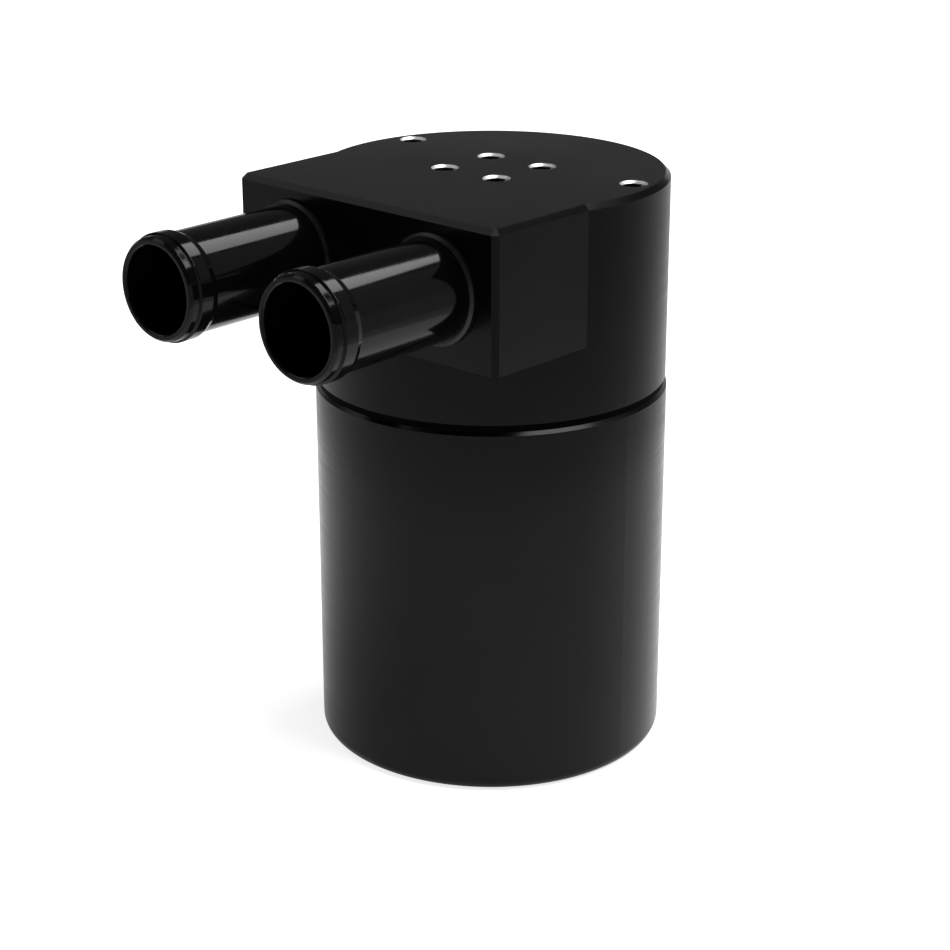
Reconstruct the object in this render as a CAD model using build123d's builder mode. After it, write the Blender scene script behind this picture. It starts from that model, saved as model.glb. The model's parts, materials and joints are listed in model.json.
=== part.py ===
"""Oil catch can: a round cup closed by a screw-in head that carries two hose ports.

The origin is the centre of the cup's base, +Z points up and the hose ports point to -Y.
All sizes are in millimetres.
"""
import os
from math import cos, hypot, radians, sin, sqrt

from build123d import *

os.makedirs("parts", exist_ok=True)

# Cup
cup_diameter = 68.0
cup_height = 72.6
cup_rim_wall = 3.5
cup_thread_relief = 0.5
cup_floor = 3.5
cup_base_radius = 2.0
cup_rim_edge = 0.6
cup_inner_edge = 2.0
cup_thread_length = 11.0

# Head: a round body with a square-fronted block for the ports
head_inset = 0.25
head_height = 39.8
head_edge = 1.0
head_lower_edge = 0.2
block_side_inset = 1.55
block_stand_out = 1.05
block_height = 26.5
block_lower_edge = 0.2

# Screw joint between head and cup, with its seal in the seam
# The land and the spigot are both drawn at the roots of their threads
seam_height = 1.2
thread_space = 0.75
spigot_length = 12.0
spigot_lead = 0.8
seal_clearance = 0.3
seal_inset = 0.6

# Chamber in the head and the passages that lead down to it
spigot_wall = 5.75
chamber_depth = 18.0
passage_diameter = 12.0
passage_inset = 0.3

# Tapped holes in the top for a bracket
hole_diameter = 5.0
hole_depth = 9.0
hole_mouth_diameter = 5.3
hole_square = 13.0
hole_square_offset = 0.7
side_hole_inset = 5.85
side_hole_offset = 7.9

# Hose ports
port_drop = 12.9
port_reach = 33.2
port_tube_diameter = 18.6
port_bore_diameter = 16.0
port_bore_edge = 0.3
port_face_diameter = 17.9
lip_edge_diameter = 18.8
lip_edge_length = 0.6
lip_diameter = 19.1
lip_length = 1.75
groove_diameter = 18.7
groove_reach = 0.15
bead_rise = 0.25
port_bead_diameter = 19.8
bead_length = 2.65
bead_end_diameter = 19.3
bead_end_reach = 0.15
bead_blend_length = 1.25
port_thread_diameter = 18.0
port_thread_length = 13.0
port_thread_clearance = 0.05
port_relief_diameter = 16.8
port_relief_length = 2.4
port_end_edge = 0.6
drive_width = 12.0

# Seal at the root of each port
port_seal_section = 1.8
port_seal_stand_off = 0.35

# Inlet pipe
pipe_diameter = 12.0
pipe_wall = 1.0
pipe_length = 40.0
pipe_seat = 6.5
pipe_fit = 0.04
pipe_end_angle = 35.0

# Mesh pad and the perforated plate below it
pad_clearance = 0.3
plate_thickness = 1.5
plate_inset = 0.45
plate_edge = 0.3
perforation_width = 3.6
perforation_pitch = 5.2
perforation_row_count = 9
perforation_margin = 1.4

# Screws and spring washers that hold the plate
screw_count = 3
screw_inset = 2.5
screw_first_angle = 90.0
screw_diameter = 3.0
screw_length = 10.0
screw_fit = 0.05
screw_head_diameter = 5.4
screw_head_height = 2.0
screw_head_edge = 0.4
screw_socket_width = 2.5
screw_socket_depth = 1.2
washer_diameter = 5.2
washer_thickness = 0.8
washer_slot = 0.6

# Worked out from the sizes above
cup_radius = cup_diameter / 2
thread_radius = cup_radius - cup_rim_wall
cavity_radius = thread_radius + cup_thread_relief
head_radius = cup_radius - head_inset
head_bottom = cup_height + seam_height
head_top = head_bottom + head_height
spigot_radius = thread_radius - thread_space
spigot_bottom = head_bottom - spigot_length
block_half_width = head_radius - block_side_inset
block_front = head_radius + block_stand_out
block_bottom = head_top - block_height
chamber_radius = spigot_radius - spigot_wall
chamber_roof = spigot_bottom + chamber_depth
passage_radius = passage_diameter / 2
port_x = chamber_radius - passage_radius - passage_inset
port_z = head_top - port_drop
port_thread_radius = port_thread_diameter / 2
socket_radius = port_thread_radius + port_thread_clearance
port_seal_radius = port_seal_section / 2
port_seal_mid = port_relief_diameter / 2 + port_seal_radius
port_shoulder = port_seal_stand_off + port_seal_radius
socket_mouth = port_seal_mid - port_seal_stand_off + port_seal_radius * sqrt(2)
pipe_top = chamber_roof + pipe_seat
plate_bottom = spigot_bottom - plate_thickness
washer_bottom = plate_bottom - washer_thickness

sides = (("left", -1), ("right", 1))
screw_circle_radius = chamber_radius + screw_inset
screw_spots = [
    (screw_circle_radius * cos(radians(angle)), screw_circle_radius * sin(radians(angle)))
    for angle in (screw_first_angle + 360 / screw_count * turn for turn in range(screw_count))
]

# Cup: a turned pot with a threaded land inside its rim
with BuildPart() as cup:
    with BuildSketch(Plane.XZ):
        with BuildLine():
            Polyline(
                (0, 0),
                (cup_radius, 0),
                (cup_radius, cup_height),
                (thread_radius, cup_height),
                (thread_radius, cup_height - cup_thread_length),
                (cavity_radius, cup_height - cup_thread_length - cup_thread_relief),
                (cavity_radius, cup_floor),
                (0, cup_floor),
                close=True,
            )
        make_face()
    revolve(axis=Axis.Z)
    level_faces = cup.faces().filter_by(Axis.Z).sort_by(Axis.Z)
    chamfer(level_faces[-1].edges(), length=cup_rim_edge)
    chamfer(level_faces[1].edges(), length=cup_inner_edge)
    fillet(cup.faces().sort_by(Axis.Z)[0].edges(), radius=cup_base_radius)
cup.part.label = "cup"
export_step(cup.part, "parts/cup.step")

# Seal ring: the flat ring that fills the seam between cup and head
with BuildPart() as seal_ring:
    with BuildSketch(Plane.XY.offset(cup_height)):
        Circle(cup_radius - seal_inset)
        Circle(spigot_radius + seal_clearance, mode=Mode.SUBTRACT)
    extrude(amount=seam_height)
seal_ring.part.label = "seal_ring"
export_step(seal_ring.part, "parts/seal_ring.step")

# Head: turned body and milled block in one piece, with the threaded spigot below
with BuildPart() as head:
    with BuildSketch(Plane.XY.offset(block_bottom)):
        Circle(head_radius)
        with Locations((0, -block_front / 2)):
            Rectangle(2 * block_half_width, block_front)
    extrude(amount=block_height)
    corners = head.edges().filter_by(Axis.Z).group_by(Axis.Y)[0]
    chamfer(corners, length=head_edge)
    chamfer(head.faces().sort_by(Axis.Z)[-1].edges(), length=head_edge)
    chamfer(head.faces().sort_by(Axis.Z)[0].edges(), length=block_lower_edge)
    with BuildSketch(Plane.XY.offset(head_bottom)):
        Circle(head_radius)
    extrude(amount=head_height - head_edge)
    chamfer(head.faces().sort_by(Axis.Z)[0].edges(), length=head_lower_edge)
    with BuildSketch(Plane.XY.offset(spigot_bottom)):
        Circle(spigot_radius)
    extrude(amount=spigot_length)
    chamfer(head.faces().sort_by(Axis.Z)[0].edges(), length=spigot_lead)

    # Chamber and, above it, one passage from each port
    with BuildSketch(Plane.XY.offset(spigot_bottom)):
        Circle(chamber_radius)
    extrude(amount=chamber_depth, mode=Mode.SUBTRACT)
    with BuildSketch(Plane.XY.offset(chamber_roof)):
        with Locations((-port_x, 0), (port_x, 0)):
            Circle(passage_radius)
    extrude(amount=port_z - chamber_roof, mode=Mode.SUBTRACT)
    for _, side in sides:
        with BuildSketch(Plane((side * port_x, -block_front, port_z))):
            with BuildLine():
                Polyline(
                    (0, 0),
                    (socket_mouth, 0),
                    (socket_radius, socket_mouth - socket_radius),
                    (socket_radius, port_thread_length),
                    (passage_radius, port_thread_length),
                    (passage_radius, block_front + passage_radius),
                    (0, block_front + passage_radius),
                    close=True,
                )
            make_face()
        revolve(axis=Axis((side * port_x, 0, port_z), (0, 1, 0)), mode=Mode.SUBTRACT)

    # Tapped holes in the top, and for the plate's screws below
    with Locations(Plane.XY.offset(head_top)):
        with Locations((0, hole_square_offset)):
            with GridLocations(hole_square, hole_square, 2, 2):
                CounterSinkHole(hole_diameter / 2, hole_mouth_diameter / 2, hole_depth)
        with Locations((0, side_hole_offset)):
            with GridLocations(2 * (head_radius - side_hole_inset), 0, 2, 1):
                CounterSinkHole(hole_diameter / 2, hole_mouth_diameter / 2, hole_depth)
    with BuildSketch(Plane.XY.offset(spigot_bottom)):
        with Locations(*screw_spots):
            Circle(screw_diameter / 2)
    extrude(amount=screw_length, mode=Mode.SUBTRACT)
head.part.label = "head"
export_step(head.part, "parts/head.step")

# Hose ports: turned tubes with a bead at the mouth, screwed into the head
for side_name, side in sides:
    port_plane = Plane((side * port_x, -block_front, port_z))
    port_axis = Axis(port_plane.origin, (0, 1, 0))
    with BuildPart() as hose_port:
        with BuildSketch(port_plane):
            with BuildLine():
                mouth = -port_reach
                groove = mouth + lip_length + groove_reach
                bead = groove + bead_rise
                bead_end = bead + bead_length
                Polyline(
                    (port_bore_diameter / 2 + port_bore_edge, mouth),
                    (port_face_diameter / 2, mouth),
                    (lip_edge_diameter / 2, mouth + lip_edge_length),
                    (lip_diameter / 2, mouth + lip_length),
                    (groove_diameter / 2, groove),
                    (port_bead_diameter / 2, bead),
                    (port_bead_diameter / 2, bead_end),
                    (bead_end_diameter / 2, bead_end + bead_end_reach),
                    (port_tube_diameter / 2, bead_end + bead_end_reach + bead_blend_length),
                    (port_tube_diameter / 2, -port_shoulder),
                    (port_relief_diameter / 2, -port_shoulder),
                    (port_relief_diameter / 2, port_relief_length - port_shoulder),
                    (port_thread_radius, port_relief_length - port_shoulder),
                    (port_thread_radius, port_thread_length - port_end_edge),
                    (port_thread_radius - port_end_edge, port_thread_length),
                    (drive_width / 2, port_thread_length),
                    (drive_width / 2, -port_shoulder),
                    (port_bore_diameter / 2, -port_shoulder - port_relief_length),
                    (port_bore_diameter / 2, mouth + port_bore_edge),
                    close=True,
                )
            make_face()
        revolve(axis=port_axis)
        with BuildSketch(Plane(port_plane.origin, x_dir=(1, 0, 0), z_dir=(0, 1, 0))):
            RegularPolygon(drive_width / 2, 6, major_radius=False)
        extrude(amount=port_thread_length, mode=Mode.SUBTRACT)
    node = f"hose_port_{side_name}"
    hose_port.part.label = node
    export_step(hose_port.part, f"parts/{node}.step")

    with BuildPart() as port_seal:
        with BuildSketch(port_plane):
            with Locations((port_seal_mid, -port_seal_stand_off)):
                RegularPolygon(port_seal_radius, 8, major_radius=False, rotation=22.5)
        revolve(axis=port_axis)
    node = f"port_seal_{side_name}"
    port_seal.part.label = node
    export_step(port_seal.part, f"parts/{node}.step")

# Inlet pipe: takes what comes in below the plate, its lower end cut at a slant
with BuildPart() as inlet_pipe:
    with BuildSketch(Plane.XY.offset(pipe_top)):
        with Locations((port_x, 0)):
            Circle(pipe_diameter / 2 - pipe_fit)
            Circle(pipe_diameter / 2 - pipe_wall, mode=Mode.SUBTRACT)
    extrude(amount=-pipe_length)
    slant_z = pipe_top - pipe_length + pipe_diameter / 2 * sin(radians(pipe_end_angle))
    slant = Plane(
        (port_x, 0, slant_z),
        x_dir=(0, 1, 0),
        z_dir=(sin(radians(pipe_end_angle)), 0, cos(radians(pipe_end_angle))),
    )
    split(bisect_by=slant, keep=Keep.TOP)
inlet_pipe.part.label = "inlet_pipe"
export_step(inlet_pipe.part, "parts/inlet_pipe.step")

# Mesh pad: the disc of wire mesh in the chamber, open for the inlet pipe
with BuildPart() as mesh_pad:
    with BuildSketch(Plane.XY.offset(spigot_bottom)):
        Circle(chamber_radius - pad_clearance)
        with Locations((port_x, 0)):
            Circle(pipe_diameter / 2 + pad_clearance, mode=Mode.SUBTRACT)
    extrude(amount=chamber_depth - pad_clearance)
mesh_pad.part.label = "mesh_pad"
export_step(mesh_pad.part, "parts/mesh_pad.step")

# Baffle plate: perforated disc that closes the chamber and holds the pad up
with BuildPart() as baffle_plate:
    keep_in = chamber_radius - perforation_width / 2 - perforation_margin
    keep_off = (pipe_diameter + perforation_width) / 2 + perforation_margin
    rows = HexLocations(perforation_pitch / 2, perforation_row_count, perforation_row_count)
    perforations = [
        (spot.X, spot.Y)
        for spot in (place.position for place in rows.local_locations)
        if hypot(spot.X, spot.Y) < keep_in and hypot(spot.X - port_x, spot.Y) > keep_off
    ]
    with BuildSketch(Plane.XY.offset(plate_bottom)):
        Circle(spigot_radius - plate_inset)
        with Locations(*perforations):
            RegularPolygon(perforation_width / 2, 6, major_radius=False, mode=Mode.SUBTRACT)
        with Locations(*screw_spots):
            Circle(screw_diameter / 2 + screw_fit, mode=Mode.SUBTRACT)
        with Locations((port_x, 0)):
            Circle(pipe_diameter / 2 + pad_clearance, mode=Mode.SUBTRACT)
    extrude(amount=plate_thickness)
    lower_rim = baffle_plate.faces().sort_by(Axis.Z)[0].outer_wire().edges()
    chamfer(lower_rim, length=plate_edge)
baffle_plate.part.label = "baffle_plate"
export_step(baffle_plate.part, "parts/baffle_plate.step")

# Screws and spring washers, heads down, from the plate up into the head
for number, (screw_x, screw_y) in enumerate(screw_spots, start=1):
    with BuildPart() as screw:
        with BuildSketch(Plane.XY.offset(washer_bottom)):
            with Locations((screw_x, screw_y)):
                Circle(screw_head_diameter / 2)
        extrude(amount=-screw_head_height)
        chamfer(screw.faces().sort_by(Axis.Z)[0].edges(), length=screw_head_edge)
        with BuildSketch(Plane.XY.offset(washer_bottom)):
            with Locations((screw_x, screw_y)):
                Circle(screw_diameter / 2 - screw_fit)
        extrude(amount=screw_length)
        with BuildSketch(Plane.XY.offset(washer_bottom - screw_head_height)):
            with Locations((screw_x, screw_y)):
                RegularPolygon(screw_socket_width / 2, 6, major_radius=False)
        extrude(amount=screw_socket_depth, mode=Mode.SUBTRACT)
    node = f"baffle_screw_{number}"
    screw.part.label = node
    export_step(screw.part, f"parts/{node}.step")

    with BuildPart() as washer:
        with BuildSketch(Plane.XY.offset(washer_bottom)):
            with Locations((screw_x, screw_y)):
                Circle(washer_diameter / 2)
                Circle(screw_diameter / 2 + screw_fit, mode=Mode.SUBTRACT)
            with Locations((screw_x + washer_diameter / 2, screw_y)):
                Rectangle(washer_diameter, washer_slot, mode=Mode.SUBTRACT)
        extrude(amount=washer_thickness)
    node = f"spring_washer_{number}"
    washer.part.label = node
    export_step(washer.part, f"parts/{node}.step")
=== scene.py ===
# %% [markdown]
# # Oil catch can
# The real object is a round pot with a screw-in head. Two hose ports stand out of the head's
# flat front, and its top has six tapped holes for a bracket. Nearly all of it is aluminium,
# anodised black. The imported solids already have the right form, so this script gives them
# their finish, adds the threads, and lights the scene.

# %% Load the frame
import json
from math import cos, radians, sin

import bpy
from mathutils import Matrix, Vector


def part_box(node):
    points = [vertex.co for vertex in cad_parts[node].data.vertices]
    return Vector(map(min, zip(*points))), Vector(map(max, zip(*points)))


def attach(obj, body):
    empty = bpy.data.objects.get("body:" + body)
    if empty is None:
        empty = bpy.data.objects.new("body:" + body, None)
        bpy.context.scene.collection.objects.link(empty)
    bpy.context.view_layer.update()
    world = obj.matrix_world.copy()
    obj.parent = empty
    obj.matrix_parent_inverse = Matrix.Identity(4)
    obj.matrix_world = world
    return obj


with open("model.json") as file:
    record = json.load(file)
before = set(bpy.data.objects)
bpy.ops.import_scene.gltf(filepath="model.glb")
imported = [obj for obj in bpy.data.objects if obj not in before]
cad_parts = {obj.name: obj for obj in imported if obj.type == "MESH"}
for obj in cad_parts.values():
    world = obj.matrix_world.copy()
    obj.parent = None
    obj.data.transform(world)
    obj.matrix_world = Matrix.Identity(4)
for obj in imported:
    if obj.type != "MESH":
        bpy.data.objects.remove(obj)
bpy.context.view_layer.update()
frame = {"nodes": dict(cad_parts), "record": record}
nodes = frame["nodes"]
mounts = {mount["name"]: mount for mount in frame["record"]["mounts"]}
mm = 0.001
print("nodes", sorted(nodes))

# %% [markdown]
# ## Camera
# The photograph was taken from the right of the ports and from above. The camera's place,
# angles and focal length come from fitting the object's outlines, so they are given as the
# real values of that fit: distance and height from the base's centre, heading, tilt and roll.
# Three perpendicular directions, made from those angles, then turn the camera. Each can be
# printed and checked, which is harder with three angles typed into the camera.

# %% Camera
camera_azimuth = radians(41.875)
camera_distance = 0.42777
camera_height = 0.21275
camera_heading = camera_azimuth + radians(0.418)
camera_tilt = radians(20.613)
camera_roll = radians(-0.048)
picture_size = 950
focal_pixels = 2315.6
sensor_width = 36.0

forward = Vector((
    -sin(camera_heading) * cos(camera_tilt),
    cos(camera_heading) * cos(camera_tilt),
    -sin(camera_tilt),
))
level_right = forward.cross(Vector((0, 0, 1))).normalized()
level_up = level_right.cross(forward)
right = cos(camera_roll) * level_right + sin(camera_roll) * level_up
up = cos(camera_roll) * level_up - sin(camera_roll) * level_right

camera_data = bpy.data.cameras.new("camera")
camera_data.sensor_width = sensor_width
camera_data.lens = focal_pixels / picture_size * sensor_width
camera_data.clip_start = 0.01
camera_data.clip_end = 50
camera = bpy.data.objects.new("camera", camera_data)
bpy.context.scene.collection.objects.link(camera)
turn = Matrix((right, up, -forward)).transposed().to_4x4()
place = Vector((
    sin(camera_azimuth) * camera_distance,
    -cos(camera_azimuth) * camera_distance,
    camera_height,
))
camera.matrix_world = Matrix.Translation(place) @ turn
bpy.context.scene.camera = camera
print("lens", round(camera_data.lens, 2), "mm at", [round(v, 4) for v in place])

# %% [markdown]
# ## Material helpers
# Each finish is a small node tree on one shader. The helpers below make a material, add a
# node, join two sockets, and spread a value over a new range. What is the same all over a
# surface is set on the shader itself, and a noise drives only what changes from place to place.

# %% Make a material and its nodes
def new_material(name, values):
    material = bpy.data.materials.new(name)
    material.use_nodes = True
    shader = material.node_tree.nodes["Principled BSDF"]
    for socket, value in values.items():
        shader.inputs[socket].default_value = value
    return material, shader


def add(owner, kind, **values):
    node = owner.node_tree.nodes.new(kind)
    for name, value in values.items():
        if name in node.inputs:
            node.inputs[name].default_value = value
        else:
            setattr(node, name, value)
    return node


def join(owner, out_socket, in_socket):
    owner.node_tree.links.new(out_socket, in_socket)


def map_range(material, value, old_range, new_range):
    ramp = add(material, "ShaderNodeMapRange")
    ramp.inputs["From Min"].default_value, ramp.inputs["From Max"].default_value = old_range
    ramp.inputs["To Min"].default_value, ramp.inputs["To Max"].default_value = new_range
    join(material, value, ramp.inputs["Value"])
    return ramp.outputs["Result"]


# %% [markdown]
# ## Surface detail
# A real surface is never one flat tone. A noise on the piece's own coordinates stays in place
# when the piece moves, and one noise can be drawn out along an axis by scaling the coordinates
# first. Nearly all its values lie near the middle, so only that part is spread over the range
# that a colour or a roughness needs. A bump tilts the shading a little, and a Bevel node
# rounds small edges in the shading where polishing has rounded the real ones.

# %% Vary a surface
noise_range = (0.3, 0.7)
tone_range = (0.35, 0.65)
edge_samples = 6


def object_noise(material, scale, detail=2.0, stretch=(1, 1, 1)):
    place = add(material, "ShaderNodeTexCoord")
    mapping = add(material, "ShaderNodeMapping", Scale=stretch)
    noise = add(material, "ShaderNodeTexNoise", Scale=scale, Detail=detail)
    join(material, place.outputs["Object"], mapping.inputs["Vector"])
    join(material, mapping.outputs["Vector"], noise.inputs["Vector"])
    return noise.outputs["Fac"]


def vary_roughness(material, shader, value, smoothest, dullest):
    roughness = map_range(material, value, noise_range, (smoothest, dullest))
    join(material, roughness, shader.inputs["Roughness"])


def vary_colour(material, shader, value, dark, light):
    ramp = add(material, "ShaderNodeValToRGB")
    for stop, position, colour in zip(ramp.color_ramp.elements, tone_range, (dark, light)):
        stop.position = position
        stop.color = (*colour, 1)
    join(material, value, ramp.inputs["Fac"])
    join(material, ramp.outputs["Color"], shader.inputs["Base Color"])


def add_bump(material, shader, height, distance, strength, soft_edge=None):
    bump = add(material, "ShaderNodeBump", Distance=distance, Strength=strength)
    join(material, height, bump.inputs["Height"])
    if soft_edge:
        rounding = add(material, "ShaderNodeBevel", Radius=soft_edge, samples=edge_samples)
        join(material, rounding.outputs["Normal"], bump.inputs["Normal"])
    join(material, bump.outputs["Normal"], shader.inputs["Normal"])


def dress(material, *pieces):
    for piece in pieces:
        piece = nodes.get(piece, piece)
        piece.data.materials.clear()
        piece.data.materials.append(material)
        print(material.name, "on", piece.name)


# %% [markdown]
# ## Black anodised aluminium
# The cup and the head are turned, lightly blasted and dyed black. Such a layer has almost no
# colour of its own and shows mostly what it reflects, weakly head-on and strongly at its
# edges. Three noises keep it from looking like plastic: a slow one changes the dye's depth,
# one drawn out round the axis is left by turning, and a fine one is the blasted grain.

# %% Black anodised body
anodised, anodised_shader = new_material("black_anodised_body", {"IOR": 1.25})
dye = object_noise(anodised, scale=60.0, detail=3.0)
vary_colour(anodised, anodised_shader, dye, (0.0012, 0.0012, 0.0014), (0.0024, 0.0024, 0.0026))
turning = object_noise(anodised, scale=40.0, detail=2.0, stretch=(1, 1, 30))
vary_roughness(anodised, anodised_shader, turning, smoothest=0.17, dullest=0.25)
blasting = object_noise(anodised, scale=1800.0, detail=1.0)
add_bump(anodised, anodised_shader, blasting, distance=0.004 * mm, strength=0.25)
dress(anodised, "cup", "head")

# %% [markdown]
# ## Bright black ports
# The ports are turned smooth and polished before they are dyed, so a lamp draws a clear line
# along them. Their noise is squeezed along the tube's axis, which leaves faint turning lines
# round it, and polishing has taken the sharpness off the edges at their mouths.

# %% Bright black ports
bright_black, bright_shader = new_material("black_anodised_port", {"IOR": 1.27})
port_dye = object_noise(bright_black, scale=80.0, detail=3.0)
port_dark, port_light = (0.0012, 0.0012, 0.0014), (0.0022, 0.0022, 0.0024)
vary_colour(bright_black, bright_shader, port_dye, port_dark, port_light)
port_turning = object_noise(bright_black, scale=30.0, detail=3.0, stretch=(1, 60, 1))
vary_roughness(bright_black, bright_shader, port_turning, smoothest=0.07, dullest=0.12)
add_bump(
    bright_black, bright_shader, port_turning,
    distance=0.01 * mm, strength=0.2, soft_edge=0.32 * mm,
)
dress(bright_black, "hose_port_left", "hose_port_right")

# %% [markdown]
# ## Black rubber
# The ring in the seam is given almost no shine, painted shade that keeps it a plain black line
# in the seam. The two round the ports' roots are squeezed out smooth and shine a little, so
# their upper edges show as pale crescents. Both are the same rubber with another surface, so
# one function makes them.

# %% Black rubber
def new_rubber(name, ior, smoothest, dullest):
    rubber, shader = new_material(name, {"IOR": ior})
    grain = object_noise(rubber, scale=900.0, detail=3.0)
    vary_colour(rubber, shader, grain, (0.0006, 0.0006, 0.0006), (0.0014, 0.0014, 0.0014))
    vary_roughness(rubber, shader, grain, smoothest, dullest)
    add_bump(rubber, shader, grain, distance=0.02 * mm, strength=0.4)
    return rubber


# The seam ring's very low IOR is painted shade: it keeps the ring black as the shaded seam
# would be.
shaded_seam_rubber = new_rubber("shaded_seam_rubber", ior=1.08, smoothest=0.6, dullest=0.75)
port_rubber = new_rubber("port_rubber", ior=1.4, smoothest=0.3, dullest=0.42)
dress(shaded_seam_rubber, "seal_ring")
dress(port_rubber, "port_seal_left", "port_seal_right")

# %% [markdown]
# ## Bare aluminium
# The pipe and the perforated plate inside the can are left bare. A metal takes its look from
# the colour of its reflections, so the shader is fully metallic and pale, and rings from
# turning are drawn by the roughness and a bump.

# %% Bare aluminium
bare, bare_shader = new_material("bare_aluminium", {"Metallic": 1.0})
bare_tone = object_noise(bare, scale=150.0, detail=3.0)
vary_colour(bare, bare_shader, bare_tone, (0.70, 0.71, 0.73), (0.80, 0.81, 0.83))
bare_rings = object_noise(bare, scale=60.0, detail=3.0, stretch=(1, 1, 40))
vary_roughness(bare, bare_shader, bare_rings, smoothest=0.22, dullest=0.38)
add_bump(bare, bare_shader, bare_rings, distance=0.02 * mm, strength=0.3)
dress(bare, "inlet_pipe", "baffle_plate")

# %% [markdown]
# ## Steel
# Screws and spring washers are plain steel, darker and slightly warmer than the aluminium. On
# pieces this small, one fine noise for both colour and roughness is enough.

# %% Steel screws and washers
steel, steel_shader = new_material("screw_steel", {"Metallic": 1.0})
steel_tone = object_noise(steel, scale=500.0, detail=3.0)
vary_colour(steel, steel_shader, steel_tone, (0.42, 0.41, 0.40), (0.56, 0.55, 0.54))
vary_roughness(steel, steel_shader, steel_tone, smoothest=0.25, dullest=0.4)
for number in (1, 2, 3):
    dress(steel, f"baffle_screw_{number}", f"spring_washer_{number}")

# %% [markdown]
# ## Wire mesh
# The pad is rolled from knitted steel wire. It is seen only through the plate's openings, so
# two crossed bands of waves, bent by a noise, stand for the wires, and the dark between them is
# painted shade.
# Modelled wires would be many thousand faces that nobody sees.

# %% Wire mesh pad
mesh_steel, mesh_shader = new_material("mesh_steel", {"Metallic": 1.0, "Roughness": 0.35})
wires = []
for direction in ("X", "Y"):
    place = add(mesh_steel, "ShaderNodeTexCoord")
    wave = add(
        mesh_steel, "ShaderNodeTexWave", bands_direction=direction, Scale=330.0, Distortion=3.0,
    )
    join(mesh_steel, place.outputs["Object"], wave.inputs["Vector"])
    wires.append(wave.outputs["Fac"])
wires_and_gap_shade = add(mesh_steel, "ShaderNodeMath", operation="MAXIMUM")
join(mesh_steel, wires[0], wires_and_gap_shade.inputs[0])
join(mesh_steel, wires[1], wires_and_gap_shade.inputs[1])
# The dark end of this ramp is painted shade in the gaps between the wires.
vary_colour(mesh_steel, mesh_shader, wires_and_gap_shade.outputs[0], (0.03, 0.03, 0.03), (0.6, 0.6, 0.6))
add_bump(mesh_steel, mesh_shader, wires_and_gap_shade.outputs[0], distance=0.3 * mm, strength=1.0)
dress(mesh_steel, "mesh_pad")

# %% [markdown]
# ## Threads
# A thread is a ridge with a trapezoid section that climbs one pitch per turn. It is drawn
# as one closed outline beside the axis, and a Screw modifier then sweeps it round and up.
# The same two steps with no climb turn a ring. The section is drawn by extruding a single
# point from corner to corner, and the two open ends of the sweep are filled.

# %% Draw a section
weld_distance = 0.001 * mm


def draw_section(name, corners):
    first_x, first_z = corners[0]
    bpy.ops.object.select_all(action="DESELECT")
    bpy.ops.mesh.primitive_plane_add(size=mm, location=(first_x * mm, 0, first_z * mm))
    piece = bpy.context.object
    piece.name = name
    bpy.ops.object.mode_set(mode="EDIT")
    bpy.ops.mesh.select_all(action="SELECT")
    bpy.ops.mesh.merge(type="CENTER")
    for start, end in zip(corners, corners[1:] + corners[:1]):
        step = ((end[0] - start[0]) * mm, 0, (end[1] - start[1]) * mm)
        bpy.ops.mesh.extrude_region_move(TRANSFORM_OT_translate={"value": step})
    bpy.ops.mesh.select_all(action="SELECT")
    bpy.ops.mesh.remove_doubles(threshold=weld_distance)
    bpy.ops.object.mode_set(mode="OBJECT")
    bpy.ops.object.transform_apply(location=True, rotation=True, scale=True)
    print(name, "section of", len(piece.data.vertices), "corners")
    return piece


def ridge_section(root_radius, crest_radius, z, root_width, crest_width):
    return [
        (root_radius, z - root_width / 2),
        (root_radius, z + root_width / 2),
        (crest_radius, z + crest_width / 2),
        (crest_radius, z - crest_width / 2),
    ]


# %% Sweep a section round the axis
smooth_angle = radians(35)


def sweep(piece, turns=1.0, pitch=0.0, steps_per_turn=48):
    bpy.ops.object.modifier_add(type="SCREW")
    screw = piece.modifiers[-1]
    screw.angle = radians(360 * turns)
    screw.screw_offset = turns * pitch * mm
    screw.steps = screw.render_steps = int(turns * steps_per_turn)
    screw.use_merge_vertices = True
    screw.merge_threshold = weld_distance
    bpy.ops.object.modifier_apply(modifier=screw.name)
    bpy.ops.object.mode_set(mode="EDIT")
    bpy.ops.mesh.select_all(action="SELECT")
    bpy.ops.mesh.fill_holes(sides=4)
    bpy.ops.mesh.select_all(action="SELECT")
    bpy.ops.mesh.normals_make_consistent(inside=False)
    bpy.ops.object.mode_set(mode="OBJECT")
    bpy.ops.object.shade_smooth_by_angle(angle=smooth_angle)
    print(piece.name, "swept to", len(piece.data.polygons), "faces")
    return piece


# %% [markdown]
# ## Screw joint
# The spigot's ridges stand out from its root cylinder and those in the cup stand in from its
# land, half a pitch apart, so that they pass each other as the head turns. The pitch is that
# of the coupling between the two joints, and both threads are right-handed. Each ridge sinks
# a little into its wall, so that no gap shows at its foot.

# %% Screw joint
thread_pitch = 1.5
thread_turns = 5.75
thread_steps = 72
first_ridge = 63.3
spigot_root, spigot_crest = 29.75, 30.36
land_root, land_crest = 30.5, 29.89
ridge_foot, ridge_crest = 1.12, 0.3
ridge_sink = 0.1

spigot_thread = draw_section("spigot_thread", ridge_section(
    spigot_root - ridge_sink, spigot_crest, first_ridge, ridge_foot, ridge_crest,
))
sweep(spigot_thread, thread_turns, thread_pitch, thread_steps)
dress(anodised, spigot_thread)
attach(spigot_thread, "head_body")

land_thread = draw_section("land_thread", ridge_section(
    land_root + ridge_sink, land_crest, first_ridge - thread_pitch / 2, ridge_foot, ridge_crest,
))
sweep(land_thread, thread_turns, thread_pitch, thread_steps)
dress(anodised, land_thread)
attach(land_thread, "cup_body")

# %% [markdown]
# ## Tapped holes
# Each hole in the top shows bright metal: a countersunk mouth and the thread below it, cut
# through the black layer. One mouth is turned from its section, a thread ridge is swept
# below it, and the pair is copied to each hole. The tool leaves these cuts duller than a
# turned face, so they catch light from a wide angle.

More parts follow.
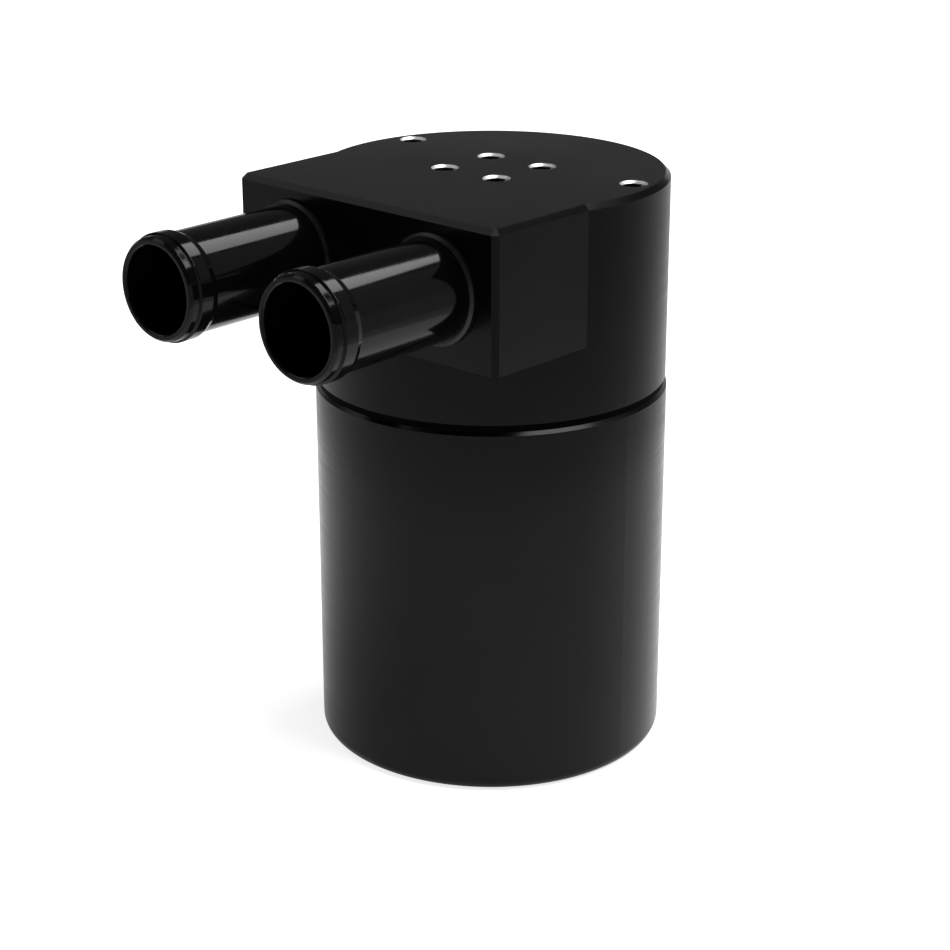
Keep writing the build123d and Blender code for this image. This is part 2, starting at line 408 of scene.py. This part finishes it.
# %% Cut aluminium
cut_metal, cut_shader = new_material("cut_aluminium", {"Metallic": 1.0})
cut_marks = object_noise(cut_metal, scale=900.0, detail=2.0, stretch=(1, 1, 4))
vary_colour(cut_metal, cut_shader, cut_marks, (0.70, 0.70, 0.71), (0.84, 0.84, 0.85))
vary_roughness(cut_metal, cut_shader, cut_marks, smoothest=0.42, dullest=0.56)

# %% One tapped lining
head_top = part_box("head")[1][2] / mm
mouth_radius = 2.62
wall_radius = 2.51
cut_radius = 2.17
mouth_section = [
    (mouth_radius, head_top - 0.01),
    (cut_radius, head_top - 0.46),
    (cut_radius, head_top - 0.54),
    (wall_radius, head_top - 0.6),
    (wall_radius, head_top - 0.17),
]
tap_crest = 2.1
tap_depth = 8.4
tap_pitch = 0.8
tap_turns = 9.25
tap_foot, tap_edge = 0.66, 0.14

lining = sweep(draw_section("tapped_lining", mouth_section))
tapping = draw_section(
    "tapping", ridge_section(wall_radius, tap_crest, head_top - tap_depth, tap_foot, tap_edge),
)
sweep(tapping, tap_turns, tap_pitch)
lining.select_set(True)
bpy.context.view_layer.objects.active = lining
bpy.ops.object.join()
dress(cut_metal, lining)

# %% Where the holes are
square, line = mounts["bracket_holes"], mounts["side_holes"]
square_x, square_y = square["pos_m"][:2]
line_x, line_y = line["pos_m"][:2]
hole_spots = []
for sign_x in (-1, 1):
    for sign_y in (-1, 1):
        hole_spots.append((
            square_x + sign_x * square["dims"]["spacing_x_mm"] / 2 * mm,
            square_y + sign_y * square["dims"]["spacing_y_mm"] / 2 * mm,
        ))
    hole_spots.append((line_x + sign_x * line["dims"]["spacing_x_mm"] / 2 * mm, line_y))
print("holes", [(round(x, 4), round(y, 4)) for x, y in hole_spots])

# %% A lining in each hole
for number, (hole_x, hole_y) in enumerate(hole_spots, start=1):
    bpy.ops.object.select_all(action="DESELECT")
    lining.select_set(True)
    bpy.context.view_layer.objects.active = lining
    bpy.ops.object.duplicate(linked=False)
    copy = bpy.context.object
    copy.name = f"tapped_lining_{number}"
    copy.location = (hole_x, hole_y, 0)
    bpy.ops.object.transform_apply(location=True, rotation=False, scale=False)
    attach(copy, "head_body")
    print(copy.name, len(copy.data.polygons), "faces")
bpy.data.objects.remove(lining)

# %% [markdown]
# ## Light by kind of ray
# The photograph's background is pure white, but a floor and a room bright enough to show that
# would also flood the can with light. So the light that they give out depends on who looks:
# a base strength for the plain light, and a share added for each kind of ray named.

# %% Strength by ray
def strength_by_ray(owner, base, shares):
    rays = add(owner, "ShaderNodeLightPath")
    total = None
    for ray, share in shares.items():
        step = add(owner, "ShaderNodeMath", operation="MULTIPLY_ADD")
        join(owner, rays.outputs[ray], step.inputs[0])
        step.inputs[1].default_value = share
        if total is None:
            step.inputs[2].default_value = base
        else:
            join(owner, total, step.inputs[2])
        total = step.outputs[0]
    print(owner.name, "gives", base, "and", shares)
    return total


# %% [markdown]
# ## Floor
# A plain white surface just under the can. The camera and the shiny surfaces see it with a
# little added light, and it still takes the can's shadow.

# %% Floor
white = (1, 1, 1, 1)
floor_size = 2.4
floor_drop = 0.2 * mm
floor_colour = (0.85, 0.85, 0.85, 1)

bpy.ops.object.select_all(action="DESELECT")
bpy.ops.mesh.primitive_plane_add(size=floor_size, location=(0, 0, -floor_drop))
floor = bpy.context.object
floor.name = "floor"
floor_white, floor_shader = new_material("white_floor", {
    "Base Color": floor_colour, "Roughness": 0.9, "IOR": 1.45, "Emission Color": white,
})
floor_lift = strength_by_ray(
    floor_white, 0.0, {"Is Camera Ray": 0.8, "Is Glossy Ray": 0.4, "Is Transmission Ray": 0.4},
)
join(floor_white, floor_lift, floor_shader.inputs["Emission Strength"])
floor.data.materials.append(floor_white)

# %% [markdown]
# ## Glowing card
# Near the can the floor is white, and farther off its reflections turn to grey. A low, flared
# ring that glows grey stands for that, as a painted reflection: only reflections see it, so it
# is in no picture and casts no shadow. It is an open cone round the axis, and its glow is
# brightest at its foot and at the back.

# %% Card ring
card_height = 0.145
card_foot_radius = 0.19
card_rim_radius = 0.27

bpy.ops.object.select_all(action="DESELECT")
bpy.ops.mesh.primitive_cone_add(
    vertices=96, radius1=card_foot_radius, radius2=card_rim_radius, depth=card_height,
    end_fill_type="NOTHING", location=(0, 0, card_height / 2),
)
card = bpy.context.object
card.name = "glowing_card"
bpy.ops.object.transform_apply(location=True, rotation=False, scale=False)
card.visible_camera = False
card.visible_diffuse = False
card.visible_shadow = False
card.visible_transmission = False
print("card", card_foot_radius, "to", card_rim_radius, "m in radius")

# %% Card glow
card_glow, card_shader = new_material("glowing_card", {
    "Base Color": (0.2, 0.2, 0.2, 1), "Roughness": 0.9, "IOR": 1.45, "Emission Color": white,
})
card_place = add(card_glow, "ShaderNodeTexCoord")
card_axes = add(card_glow, "ShaderNodeSeparateXYZ")
join(card_glow, card_place.outputs["Object"], card_axes.inputs["Vector"])
# The card's glow is painted reflection light: it fades upward and is brighter at the back.
card_fade = map_range(card_glow, card_axes.outputs["Z"], (0.0, 0.05), (0.65, 0.36))
card_back = map_range(card_glow, card_axes.outputs["Y"], (0.155, 0.21), (1.0, 1.35))
card_strength = add(card_glow, "ShaderNodeMath", operation="MULTIPLY")
join(card_glow, card_fade, card_strength.inputs[0])
join(card_glow, card_back, card_strength.inputs[1])
join(card_glow, card_strength.outputs[0], card_shader.inputs["Emission Strength"])
card.data.materials.append(card_glow)

# %% [markdown]
# ## Room
# The room is dim and even, and white only where the camera looks past the floor.

# %% Room
world = bpy.data.worlds.new("room")
bpy.context.scene.world = world
world.use_nodes = True
background = world.node_tree.nodes["Background"]
background.inputs["Color"].default_value = white
world_strength = strength_by_ray(
    world, 0.07, {"Is Camera Ray": 0.93, "Is Glossy Ray": 0.03, "Is Transmission Ray": 0.03},
)
join(world, world_strength, background.inputs["Strength"])

# %% [markdown]
# ## Lamps
# Four soft boxes, each placed by its angles and its distance from the can: azimuth 0 is
# straight behind it and 90 is to its right. A large one, high on the right, gives the plain
# light and the gleam on the cup's rim. A round one behind and above draws the bright line
# along the ports. A dim one low behind on the right lifts the ports' lower half, and a dim one
# in front on the left lifts the block's front edge.

# %% Lamps
lamp_aim = Vector((0, 0, 0.08))


def soft_box(name, azimuth, elevation, distance, size, power, shape="RECTANGLE"):
    lamp_data = bpy.data.lights.new(name, "AREA")
    lamp_data.shape = shape
    lamp_data.size, lamp_data.size_y = size
    lamp_data.energy = power
    lamp = bpy.data.objects.new(name, lamp_data)
    bpy.context.scene.collection.objects.link(lamp)
    side = Vector((
        sin(radians(azimuth)) * cos(radians(elevation)),
        cos(radians(azimuth)) * cos(radians(elevation)),
        sin(radians(elevation)),
    ))
    lamp.location = lamp_aim + side * distance
    lamp.rotation_euler = side.to_track_quat("Z", "Y").to_euler()
    lamp.visible_camera = False
    print(name, power, "W at", [round(v, 3) for v in lamp.location])


soft_box("main_lamp", azimuth=73, elevation=62, distance=1.8, size=(0.95, 1.1), power=26)
soft_box(
    "back_lamp", azimuth=6, elevation=56, distance=1.6, size=(0.82, 0.58), power=7.6,
    shape="ELLIPSE",
)
soft_box("side_fill", azimuth=40, elevation=23, distance=1.2, size=(0.6, 1.1), power=0.58)
soft_box("front_fill", azimuth=-119, elevation=44, distance=1.6, size=(0.9, 0.9), power=2.1)

# %% [markdown]
# ## Picture
# The Standard view shows each colour as it is written, with no film look over it.

# %% Picture settings
bpy.context.scene.view_settings.view_transform = "Standard"
